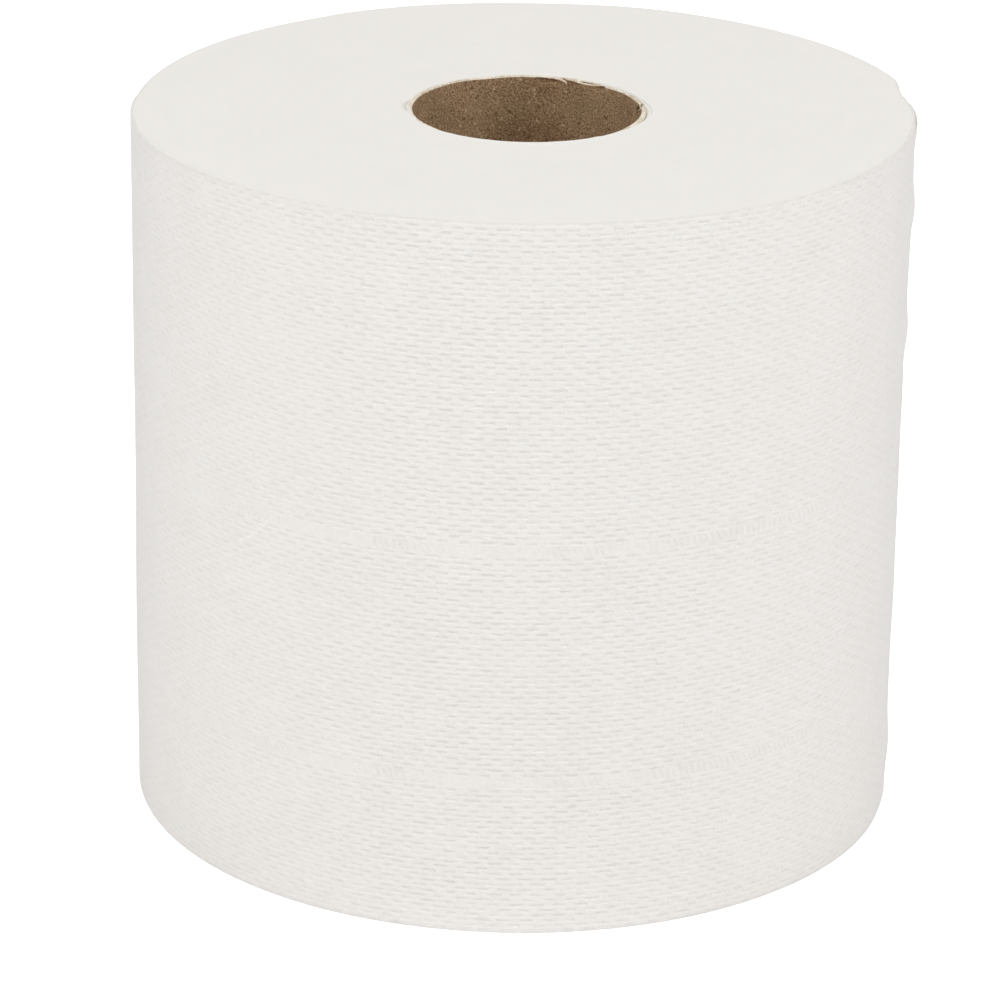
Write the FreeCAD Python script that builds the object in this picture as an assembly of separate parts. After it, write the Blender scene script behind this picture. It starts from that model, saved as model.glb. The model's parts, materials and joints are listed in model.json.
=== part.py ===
"""Centre-pull paper towel roll, standing on one end.

Millimetres. The origin is the centre of the lower end, on the core's axis. +Z runs up the core,
and +X points to the side where the web's free end lies.
"""
import FreeCAD
import Part
import math
import os

# ---- the wound paper ----
roll_height = 190.0         # width of the towel web, which is the height of the roll on end
roll_diameter = 204.6       # over the tight turns
wind_offset = 1.0           # the turns' centre lies this far from the core's, towards -X
rim_radius = 2.0            # the outer corners, rubbed round
end_dish = 0.9              # how far the sawn upper end sinks from its rim to the core

# ---- the core ----
core_bore = 60.0            # inside diameter
core_wall = 1.2             # three strips of kraft board, wound at a slant
core_edge_break = 0.25      # chamfer of the board's sawn edges
core_clearance = 0.1        # radial, between the board and the first turn
strip_width = 120.0         # of the innermost strip, which sets the slant of its seam
seam_gap = 0.5              # between that strip's edges
seam_depth = 0.2            # below the bore, where the strip's soft edges part
seam_angle = 116.0          # where the seam meets the upper end, in degrees from +X towards +Y

# ---- the tear in the core's upper edge ----
tear_angle = 8.0            # where it starts, in degrees from +X towards +Y
tear_width = 0.9            # along the edge
tear_reach = 5.0            # how far its point lies round the bore from its start
tear_depth = 2.6            # how far below the edge

# ---- the mouth, where the first turns stand off the core ----
mouth_depth = 3.0           # below the upper end
mouth_gap_right = 1.3       # to the core at the upper end, towards +X
mouth_gap_left = 0.4        # the same, towards -X
mouth_gap_side = 0.4        # the same, towards +Y and -Y
mouth_bite = 0.3            # the flare starts this far inside the bore, so that it crosses the wall

# ---- the free end of the web ----
tail_sheet = 0.4            # two embossed plies that nothing presses together
tail_tip_angle = 4.0        # where the web ends, in degrees from +X towards +Y
tail_free_angle = 26.0      # arc over which the last turn leaves the roll
tail_lift_base = 0.15       # gap under the tip at the lower end
tail_lift_middle = 0.35     # the same, half way up
tail_lift_top = 1.0         # the same, at the upper end

# ---- worked out from the above ----
roll_radius = roll_diameter / 2
core_radius = core_bore / 2
core_outer_radius = core_radius + core_wall
core_length = roll_height - end_dish            # both were sawn in one cut
paper_bore_radius = core_outer_radius + core_clearance
tail_root_depth = 0.75 * tail_sheet             # the last turn leaves from inside the tight ones
tail_edge_drop = 0.6 * rim_radius               # its long edges stay below the round of the rims

ORIGIN = FreeCAD.Vector(0, 0, 0)
UP = FreeCAD.Vector(0, 0, 1)
FULL_TURN = 360


def polar(radius, angle, height=0.0):
    """The point at this radius, angle in degrees and height about the Z axis."""
    turn = math.radians(angle)
    return FreeCAD.Vector(radius * math.cos(turn), radius * math.sin(turn), height)


def rim_corner(height, start, end):
    """A quarter circle of the rim radius in the XZ plane, between two angles in degrees."""
    centre = FreeCAD.Vector(roll_radius - rim_radius, 0, height)
    spots = []
    for angle in (start, (start + end) / 2, end):
        spot = polar(rim_radius, angle)
        spots.append(centre + FreeCAD.Vector(spot.x, 0, spot.y))
    return Part.Arc(*spots).toShape()


def tight_turns():
    """The wound turns as a solid of revolution: flat below, dished above, round at both rims."""
    shoulder = roll_radius - rim_radius
    dish_slope = end_dish / (shoulder - paper_bore_radius)
    foot = FreeCAD.Vector(shoulder, 0, 0)
    low = FreeCAD.Vector(roll_radius, 0, rim_radius)
    high = FreeCAD.Vector(roll_radius, 0, roll_height - rim_radius)
    crest = FreeCAD.Vector(shoulder, 0, roll_height)
    hub = FreeCAD.Vector(0, 0, roll_height - dish_slope * shoulder)
    outline = Part.Wire([
        Part.makeLine(ORIGIN, foot),
        rim_corner(low.z, -90, 0),
        Part.makeLine(low, high),
        rim_corner(high.z, 0, 90),
        Part.makeLine(crest, hub),
        Part.makeLine(hub, ORIGIN),
    ])
    turns = Part.Face(outline).revolve(ORIGIN, UP, FULL_TURN)
    turns.translate(FreeCAD.Vector(-wind_offset, 0, 0))
    return turns


def tail_section(height, lift):
    """The last turn cut across: it climbs as the square of the way from its root to its tip."""
    climb = tail_root_depth + tail_sheet + lift
    outside, inside = [], []
    for step in range(5):
        way = step / 4
        angle = tail_tip_angle - tail_free_angle * (1 - way)
        radius = roll_radius - tail_root_depth + climb * way**2
        outside.append(polar(radius, angle, height))
        inside.append(polar(radius - tail_sheet, angle, height))
    curves = []
    for points in (outside, inside[::-1]):
        curve = Part.BSplineCurve()
        curve.interpolate(points)
        curves.append(curve.toShape())
    tip = Part.makeLine(outside[-1], inside[-1])
    root = Part.makeLine(inside[0], outside[0])
    return Part.Wire([curves[0], tip, curves[1], root])


def loose_tail():
    """The free end of the web, which stands off more towards the upper end."""
    sections = [
        tail_section(tail_edge_drop, tail_lift_base),
        tail_section(roll_height / 2, tail_lift_middle),
        tail_section(roll_height - tail_edge_drop, tail_lift_top),
    ]
    tail = Part.makeLoft(sections, True)
    tail.translate(FreeCAD.Vector(-wind_offset, 0, 0))
    return tail


def mouth_section(height):
    """The flare of the mouth cut across: an oval that narrows evenly down to the bore."""
    widening = (height - core_length) / mouth_depth + 1
    start = paper_bore_radius - mouth_bite
    right, left, side = [
        start + (core_outer_radius + gap - start) * widening
        for gap in (mouth_gap_right, mouth_gap_left, mouth_gap_side)
    ]
    stretch = FreeCAD.Matrix()
    stretch.scale((right + left) / 2, side, 1)
    stretch.move(FreeCAD.Vector((right - left) / 2, 0, height))
    return Part.Wire(Part.makeCircle(1).transformGeometry(stretch).Edges)


def mouth():
    """What the flare takes away, from its foot to above the upper end."""
    foot = core_length - mouth_depth
    return Part.makeLoft([mouth_section(foot), mouth_section(roll_height + rim_radius)], True)


def paper_roll():
    """All the turns as one solid, with the free end on them and the core's place cut out."""
    bore = Part.makeCylinder(paper_bore_radius, roll_height)
    return tight_turns().fuse(loose_tail()).cut(bore).cut(mouth())


def seam_groove():
    """The open seam of the innermost strip: a square groove along a helix, past both ends."""
    pitch = math.pi * core_bore * math.tan(math.asin(strip_width / (math.pi * core_bore)))
    overrun = pitch / 20
    helix = Part.makeHelix(pitch, core_length + 2 * overrun, core_radius)
    half = seam_gap / 2
    corners = [
        FreeCAD.Vector(core_radius + reach, 0, side)
        for reach, side in ((-seam_depth, -half), (seam_depth, -half), (seam_depth, half), (-seam_depth, half))
    ]
    section = Part.makePolygon(corners + corners[:1])
    groove = Part.Wire(helix.Edges).makePipeShell([section], True, True)
    groove.translate(FreeCAD.Vector(0, 0, -overrun))
    groove.rotate(ORIGIN, UP, seam_angle - (core_length + overrun) / pitch * FULL_TURN)
    return groove


def edge_tear():
    """A slanting wedge out of the board's upper edge, right through the wall."""
    start = tear_angle
    end = start + math.degrees(tear_width / core_radius)
    point = start + math.degrees(tear_reach / core_radius)
    above = core_length + core_edge_break
    outlines = [
        Part.makePolygon([
            polar(radius, start, above),
            polar(radius, end, above),
            polar(radius, point, core_length - tear_depth),
            polar(radius, start, above),
        ])
        for radius in (core_radius - core_wall, core_outer_radius + core_wall)
    ]
    return Part.makeLoft(outlines, True, True)


def core_tube():
    """The board tube that the web is wound on, sawn to length with it."""
    tube = Part.makeCylinder(core_outer_radius, core_length)
    tube = tube.cut(Part.makeCylinder(core_radius, core_length))
    sawn = [edge for edge in tube.Edges if isinstance(edge.Curve, Part.Circle)]
    return tube.makeChamfer(core_edge_break, sawn).cut(seam_groove()).cut(edge_tear())


def main():
    os.makedirs("parts", exist_ok=True)
    for name, build in (("paper_roll", paper_roll), ("core_tube", core_tube)):
        shape = build()
        shape.exportStep(f"parts/{name}.step")
        box = shape.optimalBoundingBox(False)
        print(f"{name}: {len(shape.Solids)} solid, {shape.Volume / 1000:.1f} cm3, valid {shape.isValid()},"
              f" {box.XLength:.2f} x {box.YLength:.2f} x {box.ZLength:.2f} mm")


main()
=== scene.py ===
# A centre-pull paper towel roll: soft embossed two-ply tissue, wound on a spiral kraft-board core.
# Lengths are in millimetres and angles in degrees until a mesh is made; 0 degrees is +X, 90 is +Y.
import bpy
import json
import numpy as np
from functools import partial
from mathutils import Euler, Matrix, Vector


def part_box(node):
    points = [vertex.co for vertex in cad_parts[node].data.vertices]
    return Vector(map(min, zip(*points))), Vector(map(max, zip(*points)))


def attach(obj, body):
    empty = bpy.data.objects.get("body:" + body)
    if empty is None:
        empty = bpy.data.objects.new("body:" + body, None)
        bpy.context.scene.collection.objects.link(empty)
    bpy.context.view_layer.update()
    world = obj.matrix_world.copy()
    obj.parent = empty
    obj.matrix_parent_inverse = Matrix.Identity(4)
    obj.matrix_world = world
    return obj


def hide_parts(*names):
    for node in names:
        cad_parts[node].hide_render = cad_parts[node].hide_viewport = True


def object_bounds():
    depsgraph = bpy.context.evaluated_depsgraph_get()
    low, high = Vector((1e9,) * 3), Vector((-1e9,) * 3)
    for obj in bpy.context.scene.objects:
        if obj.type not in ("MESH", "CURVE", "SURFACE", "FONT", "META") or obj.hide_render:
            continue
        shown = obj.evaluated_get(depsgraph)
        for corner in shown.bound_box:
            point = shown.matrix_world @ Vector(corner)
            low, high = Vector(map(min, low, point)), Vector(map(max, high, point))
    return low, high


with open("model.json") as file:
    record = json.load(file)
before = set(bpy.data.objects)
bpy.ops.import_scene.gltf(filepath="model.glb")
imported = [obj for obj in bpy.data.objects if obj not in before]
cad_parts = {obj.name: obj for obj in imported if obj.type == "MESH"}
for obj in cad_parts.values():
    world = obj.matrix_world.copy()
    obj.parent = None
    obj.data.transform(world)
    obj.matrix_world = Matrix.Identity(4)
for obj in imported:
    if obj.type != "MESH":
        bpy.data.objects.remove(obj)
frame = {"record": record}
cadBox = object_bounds()
mm = 0.001

rollLow, rollHigh = (np.array(corner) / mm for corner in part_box("paper_roll"))
coreLow, coreHigh = (np.array(corner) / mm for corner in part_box("core_tube"))
coreBore = next(m for m in frame["record"]["mounts"] if m["name"] == "core_bore")

roll = {
    "height": rollHigh[2] - rollLow[2],
    "radius": (rollHigh[1] - rollLow[1]) / 2,
    "rim": 0.6,  # rounding of both outer corners
    "dish": 0.9,  # the end faces lie this much lower at the core
}
roll["centreX"] = rollLow[0] + roll["radius"]  # the turns aren't quite centred on the core

core = {
    "outer": (coreHigh[0] - coreLow[0]) / 2,
    "bore": coreBore["dims"]["r_mm"],
    "top": coreHigh[2],
}


# Small tools that every piece uses

def smoothStep(x, low, high):
    # 0 below low, 1 above high, and an S curve between them
    t = np.clip((x - low) / (high - low), 0, 1)
    return t * t * (3 - 2 * t)


def turned(degrees, centre):
    # how far an angle is from a centre, the short way round, from -180 to 180
    return (degrees - centre + 180) % 360 - 180


def softBump(degrees, size, centre, width, power=2):
    # one bell round the roll, of a size at its centre and about a third of it at width away from there
    return size * np.exp(-np.abs(turned(degrees, centre) / width) ** power)


def slowWaves(degrees, height, seed, mostRound=7, shortest=70.0, count=16):
    # a sum of cosine waves, each with a whole number of waves in a turn, so that it closes on itself
    rng = np.random.default_rng(seed)
    total = np.zeros(np.broadcast(degrees, height).shape)
    for _ in range(count):
        around = rng.integers(0, mostRound + 1)
        upward = rng.uniform(-1, 1) / shortest
        start = rng.uniform(0, 2 * np.pi)
        total += np.cos(np.radians(degrees) * around + 2 * np.pi * upward * height + start)
    return total / np.sqrt(count / 2)


def ringMesh(name, points, materials, faceMaterial=None, uvGrid=None, openColumns=False):
    # a closed shell from a grid of points: rows run round a closed profile and columns round the axis. With
    # openColumns its two ends stay apart, and each is closed by quads between the profile's two halves
    rows, columns = points.shape[:2]
    index = np.arange(rows * columns).reshape(rows, columns)
    across = columns - 1 if openColumns else columns
    nextRow, nextColumn = np.roll(index, -1, axis=0), np.roll(index, -1, axis=1)
    both = np.roll(nextRow, -1, axis=1)
    quads = np.stack([index, nextColumn, both, nextRow], axis=-1)[:, :across].reshape(-1, 4)
    corner = points.reshape(-1, 3)
    a, b, c, d = (corner[quads[:, k]] for k in range(4))
    volume = (np.cross(b - a, c - a) * a).sum() + (np.cross(c - a, d - a) * a).sum()
    inward = volume < 0
    if inward:
        quads = quads[:, ::-1]
    wallQuads = len(quads)
    if openColumns:
        half = rows // 2
        for end, flip in ((index[:, 0], inward), (index[:, -1], not inward)):
            outside, inside = end[:half], end[half:][::-1]
            cap = np.stack([outside[:-1], outside[1:], inside[1:], inside[:-1]], axis=-1)
            quads = np.concatenate([quads, cap[:, ::-1] if flip else cap])
    mesh = bpy.data.meshes.new(name)
    mesh.from_pydata(corner * mm, [], quads, shade_flat=False)
    for material in materials:
        mesh.materials.append(material)
    if faceMaterial is not None:
        capFill = np.zeros(len(quads) - wallQuads, int)
        perFace = np.concatenate([np.repeat(faceMaterial, across), capFill])
        mesh.polygons.foreach_set("material_index", perFace.astype(np.int32))
    if uvGrid is not None:
        # one more column and row than the points have, so that the map doesn't run backwards at the joins
        low, high = uvGrid[:-1, :-1], uvGrid[1:, 1:]
        right, above = uvGrid[:-1, 1:], uvGrid[1:, :-1]
        perLoop = np.stack([low, right, high, above], axis=-2)[:, :across].reshape(-1, 4, 2)
        if inward:
            perLoop = perLoop[:, ::-1]
        spare = np.zeros((len(quads) - wallQuads, 4, 2))
        layer = mesh.uv_layers.new(name="web")
        layer.data.foreach_set("uv", np.concatenate([perLoop, spare]).astype(np.float32).ravel())
    mesh.update(calc_edges=True)
    mesh.validate()
    piece = bpy.data.objects.new(name, mesh)
    bpy.context.scene.collection.objects.link(piece)
    return piece


def gridOf(*parts):
    # arrays of different shapes as one grid, with a place for each array along its last axis
    return np.stack(np.broadcast_arrays(*parts), axis=-1)


def polarPoints(degrees, radius, height, centreX=0.0):
    # x, y and z from an angle, a radius about a centre on the X axis, and a height
    angle = np.radians(degrees)
    return gridOf(centreX + radius * np.cos(angle), radius * np.sin(angle), height)


def linear(hexColour):
    # an sRGB hex colour as linear red, green, blue and alpha
    value = np.array([int(hexColour[k:k + 2], 16) / 255 for k in (1, 3, 5)])
    value = np.where(value <= 0.04045, value / 12.92, ((value + 0.055) / 1.055) ** 2.4)
    return (*value, 1.0)


def addNode(tree, kind, *inputs, **settings):
    # one node with its settings. ADD alone is an operation of a Math node; VectorMath.ADD names both.
    # The inputs in use are filled in order, or by name from a dictionary, and each takes a value, a hex
    # colour, an output, or a node, which stands for its first output in use
    kind, _, operation = ("Math." + kind if kind.isupper() else kind).partition(".")
    node = tree.nodes.new("ShaderNode" + kind)
    if operation:
        node.operation = operation
    for key, value in settings.items():
        setattr(node, key, value)
    if inputs and isinstance(inputs[0], dict):
        filled = [(node.inputs[name], value) for name, value in inputs[0].items()]
    else:
        filled = zip([socket for socket in node.inputs if socket.enabled], inputs)
    for socket, value in filled:
        if isinstance(value, bpy.types.Node):
            value = next(output for output in value.outputs if output.enabled)
        if isinstance(value, bpy.types.NodeSocket):
            tree.links.new(value, socket)
        else:
            socket.default_value = linear(value) if isinstance(value, str) else value
    return node


def emptyTree(owner):
    # clears the nodes of a material or the world, and gives addNode for its tree
    owner.use_nodes = True
    owner.node_tree.nodes.clear()
    return partial(addNode, owner.node_tree)


def newMaterial(name):
    material = bpy.data.materials.new(name)
    return material, emptyTree(material)


smooth = {"interpolation_type": "SMOOTHSTEP"}  # for a Map Range: an S curve in place of a straight line
coloured = {"data_type": "RGBA"}  # for a Mix


# The emboss, in the same real sizes for the meshes and the materials

emboss = {
    "dashes": 115,  # pressed dashes in one turn, about 5.6 mm apart
    "rowPitch": 1.433,
    "halfLong": 2.8,  # a dash fades out this far from its middle, along the web
    "halfHigh": 0.42,
    "deep": 0.10,
    "chance": (0.65, 1.35),  # times that for a single dash
    "rows": 150,  # rows that get chances, more than the web has
    "uneven": 0.22, "unevenWithin": (0.4, 1.6),
    "bandAt": (42.0, 104.6),  # where the two plies are knurled together
    "bandEdge": (1.0, 1.6),  # a band fades out between these distances from its middle
    "bandLoss": 0.8,  # the share of their depth that the dashes lose in a band
    "clearOfEdge": 0.15,  # no rows of points for the dashes come this near to the rims
    "strokePitch": 1.75,
    "strokeLean": 0.30,  # how far a knurl stroke leans along the web for each millimetre of height
    "biteAt": -54.0, "biteHalf": 22.0,  # the knurl wheel bit best round this angle
    "firm": 0.62, "firmSwing": 0.38,  # the relief, and the painted light on its wrinkles and lips, are firm at the front and back and weaker at the flanks, where the light shows them less
}
period = 2 * np.pi * roll["radius"] / emboss["dashes"]

creases = (  # soft folds in the outermost turn: two ends as degrees and mm, and a half width
    ((226.6, 95.5), (228.7, 97.8), 0.50),
    ((228.7, 97.8), (230.7, 100.5), 0.55),
    ((230.7, 100.5), (233.0, 105.0), 0.35),
    ((215.5, 102.6), (221.7, 102.5), 0.30),
    ((313.8, 51.2), (321.7, 44.6), 0.40),
    ((321.7, 44.6), (329.0, 38.0), 0.35),
)


def bandMask(height):
    # 1 in the knurled bands, where there are no dashes, and 0 elsewhere
    return sum(1 - smoothStep(np.abs(height - at), *emboss["bandEdge"]) for at in emboss["bandAt"])


def pressedDashes(degrees, height):
    # depth of the pressed dashes: a tent along the web times a tent up the web, in a brick lattice, with a
    # chance depth for each, and slow waves that make some areas deeper, because the tension was uneven
    row = np.floor(height / emboss["rowPitch"])
    along = degrees / 360 * emboss["dashes"] + (row % 2) / 2
    number = np.round(along)
    fromMiddle = np.abs(along - number) * period
    fromRow = np.abs(height - (row + 0.5) * emboss["rowPitch"])
    tent = np.clip(1 - fromMiddle / emboss["halfLong"], 0, 1)
    tent = tent * np.clip(1 - fromRow / emboss["halfHigh"], 0, 1)
    rows, dashes = emboss["rows"], emboss["dashes"]
    chances = np.random.default_rng(3).uniform(*emboss["chance"], (rows, dashes))
    chance = chances[row.astype(int) % rows, number.astype(int) % dashes]
    uneven = 1 + emboss["uneven"] * slowWaves(degrees, height, 5, mostRound=30, shortest=9.0)
    uneven = np.clip(uneven, *emboss["unevenWithin"])
    firm = emboss["firm"] - emboss["firmSwing"] * np.cos(np.radians(2 * degrees))
    return emboss["deep"] * tent * chance * uneven * firm * (1 - emboss["bandLoss"] * bandMask(height))


# How the roll strays from a true cylinder

shape = {
    "unevenSide": 0.09,  # slow swells of the side
    "unevenTop": 1.6,  # swells are counted from this high, so that none stands past the full radius
    "rimReach": 20.0,  # how far down the side the rim's own swells are felt
    "rimFade": 14.0,  # and how far in across the end face
    # the far right rim stands out between two angles, each with the width of its S curve
    "swell": 2.0, "swellStart": (14.0, 8.0), "swellEnd": (78.0, 24.0),
    "slack": 0.7, "slackSpan": (122.0, 178.0, 10.0),  # and the far left one is drawn in
    # bells round the roll, each with its size, its angle and its width in degrees
    "dip": (0.6, 8.5, 4.0),
    "softLeft": (0.75, 180.0, 48.0),  # the rim is softer and rounder at the left
    "rightDrop": (0.5, -48.0, 36.0),  # and the end face slopes down a little to the near right
    "ruffleSpan": (1.0, -5.0, 9.0),
    "rimWaves": 0.08, "waveMean": 1.2, "waveSwing": 0.5,  # all round, the rim waves up and down a little
    "dropReach": 6.0,  # how far down the side the rim's drop is felt
    "dropFade": 9.0,  # and how far in across the end face
    "underTail": 0.40,  # the turn below the free end lies this much deeper
    "ruffles": ((188.5, 4.0, 0.65), (166.0, 4.5, 0.70), (133.0, 5.0, 0.65), (60.0, 9.0, 0.15),
                (14.0, 6.0, 0.55)),  # height, half height and lift of each ruffle near the free end
}


def past(degrees, angle, fade):
    # 0 before an angle and 1 past it, with an S curve of width fade across it
    return smoothStep(turned(degrees, angle), -fade / 2, fade / 2)


def between(degrees, start, end, fade):
    # 1 between two angles, with an S curve of width fade across each
    middle, half = (start + end) / 2, (end - start) / 2
    return 1 - smoothStep(np.abs(turned(degrees, middle)), half - fade / 2, half + fade / 2)


def sideStray(degrees, height):
    # what is added to the radius of the side: slow swells, the rim's own swells near the upper end, and
    # the ruffles that show through where the free end lies
    s = shape
    rim = s["swell"] * past(degrees, *s["swellStart"]) * (1 - past(degrees, *s["swellEnd"]))
    rim = rim - s["slack"] * between(degrees, *s["slackSpan"]) - softBump(degrees, *s["dip"])
    fromTop = np.clip(roll["height"] - height, 0, None)
    ruffle = -s["underTail"]
    for at, halfHeight, lift in s["ruffles"]:
        ruffle = ruffle + lift * np.exp(-((height - at) / halfHeight) ** 2)
    ruffle = ruffle * softBump(degrees, *s["ruffleSpan"])
    swell = s["unevenSide"] * (slowWaves(degrees, height, 11) - s["unevenTop"])
    return swell + ruffle + rim * np.exp(-fromTop / s["rimReach"])


def rimDrop(degrees):
    # how far the upper rim lies below the roll's full height
    s = shape
    drop = softBump(degrees, *s["softLeft"]) + softBump(degrees, *s["rightDrop"])
    waves = slowWaves(degrees, 0 * degrees, 23, mostRound=11)
    return drop + s["rimWaves"] * (s["waveMean"] + s["waveSwing"] * waves)


def strayed(degrees, inset, height):
    # radius and height of a point of the roll that lies inset from the side: sideStray fades inwards, and
    # near the upper rim the height is let down by rimDrop, which fades inwards and downwards
    s = shape
    radius = roll["radius"] - inset + sideStray(degrees, height) * np.exp(-(inset / s["rimFade"]) ** 2)
    fromTop = np.clip(roll["height"] - height, 0, None)
    drop = rimDrop(degrees) * np.exp(-(inset / s["dropFade"]) ** 2) * np.exp(-fromTop / s["dropReach"])
    return radius, height - drop


# Materials. A noise has its scale, which is 1000 / its size in millimetres, its detail and its roughness. A
# tone is a share of the way from a light colour to a dark one. Of a pattern's other numbers, a pair is what
# it's multiplied by and what is added, and four are two of its values and what they become

tissue = {
    "colour": "#F1EEE9",
    "pressed": "#E4E0DA",  # the sheet's darker tone: partly the pressed fibres, which let a little more light through, and partly painted shade in the pressed grooves
    "crest": "#F7F4EF",  # painted highlight: lighter colour on the lips below the dashes and along the folds, where they face the light
    "endsLight": "#F2EFEA",  # slit edges trap a little light between them
    "ends": "#E8E5DF",
    "surface": {"Roughness": 0.92, "Specular IOR Level": 0.2, "Sheen Weight": 0.12, "Sheen Roughness": 0.5},
    "fibres": (1000 / 0.84, 6.0, 0.7),  # thicker than real ones, to show
    "fuzz": (1000 / 0.9, 6.0, 0.7),  # the same, on the slit edges
    "grain": (1000 / 0.9, 4.0),  # what makes pressed edges ragged
    "clouds": (1000 / 14.0, 4.0, 0.6),  # thick and thin areas of the sheet
    "crepeSize": (0.35, 2.0),  # mm along and up the web: fine folds that run up it
    "squiggleSize": (5.0, 1.6),  # the same for the squiggles of the rows
    "wrinkleSize": (2.6, 0.75),  # and for the long wrinkles between the dashes
    "biteSize": 22.0,  # mm from one place where the knurl wheel bites well to the next
    "bite": (0.46, 0.62, 0.12, 1.0),
    "wander": (0.4, 0.6),  # how far a dash wanders: in dash periods along the web, and in mm up it
    "ragged": (1.6, -0.8),
    "raggedLong": 0.7, "raggedHigh": 0.26, "raggedLip": 0.3, "raggedStroke": 0.22,
    "longer": (-0.7, 0.35),  # mm by which chance makes a dash longer or shorter
    "dashLong": (0.9, 2.1, 1.0, 0.0),  # mm from its middle
    "dashHigh": (0.0, 0.55, 1.0, 0.0),
    "stronger": (0.5, 0.8),
    "lipDown": 0.5,  # the lip lies this far below a dash
    "lipHigh": (0.0, 0.34, 1.0, 0.0),
    "lipStrength": (1.2, 0.15),
    "stroke": (0.12, 0.28, 1.0, 0.0),  # in stroke pitches from its middle
    "rimWorn": (1.3, 0.5),  # over the rims the pattern fades out between these distances from the ends
    "rimFirm": (-0.5, 1.0),
    # the rim shade tone is painted shade over the rounded rims
    "pressedTone": 0.26, "cloudTone": (0.5, -0.15), "fibreTone": (1.6, -0.8), "rimShadeTone": 0.25,
    # painted light: the wrinkle tone colours raised wrinkles lighter and their hollows darker, and the fold
    # highlight paints a highlight along the folds
    "wrinklePaintedLight": -0.9, "foldHighlight": 0.8,
    "wrinkleLift": 0.8, "lipLift": 0.35,  # heights against the depth of a dash
    "dashLift": 0.155, "strokeLift": 0.10, "foldLift": 0.05, "fineLift": 0.13,  # mm of relief
    "ringSize": 1.1,  # mm; single turns are about 0.2 mm apart, so groups of about five are drawn
    "ringWander": (1000 / 30.0, 2.0),
    "ringTone": 0.25, "endCloudTone": (0.4, 0.07), "ringLift": 0.03, "fuzzLift": 0.06,
}


def finishPaper(add, colour, lifts, surface):
    # closes a paper or board material, with a bump for each height and its lift in mm, one upon another
    normal = {}
    for height, lift in lifts:
        bump = add("Bump", {"Height": height, "Strength": 1.0, "Distance": lift * mm, **normal})
        normal = {"Normal": bump}
    add("OutputMaterial", add("BsdfPrincipled", {"Base Color": colour, **normal, **surface}))


def foldMark(add, flat, start, end, wide):
    # 1 along the middle of a fold and 0 beside it: the distance from the nearest point of a straight line
    perDegree = np.pi / 180 * roll["radius"]
    first, last = (np.array([corner[0] * perDegree, corner[1], 0.0]) for corner in (start, end))
    whole = last - first
    away = add("VectorMath.SUBTRACT", flat, tuple(first))
    reach = add("VectorMath.DOT_PRODUCT", away, tuple(whole / np.linalg.norm(whole) ** 2))
    nearest = add("VectorMath.SCALE", tuple(whole), add("ADD", reach, 0.0, use_clamp=True))
    return add("MapRange", add("VectorMath.DISTANCE", away, nearest), 0.0, wide, 1.0, 0.0, **smooth)


def webNoise(add, along, up, size, start, *detail):
    # a noise on the web, in cells of a size in millimetres along the web and up it
    along, up = add("MULTIPLY", along, period / size[0]), add("MULTIPLY", up, 1 / size[1])
    return add("TexNoise", add("CombineXYZ", along, up, start), 1.0, *detail)


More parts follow.
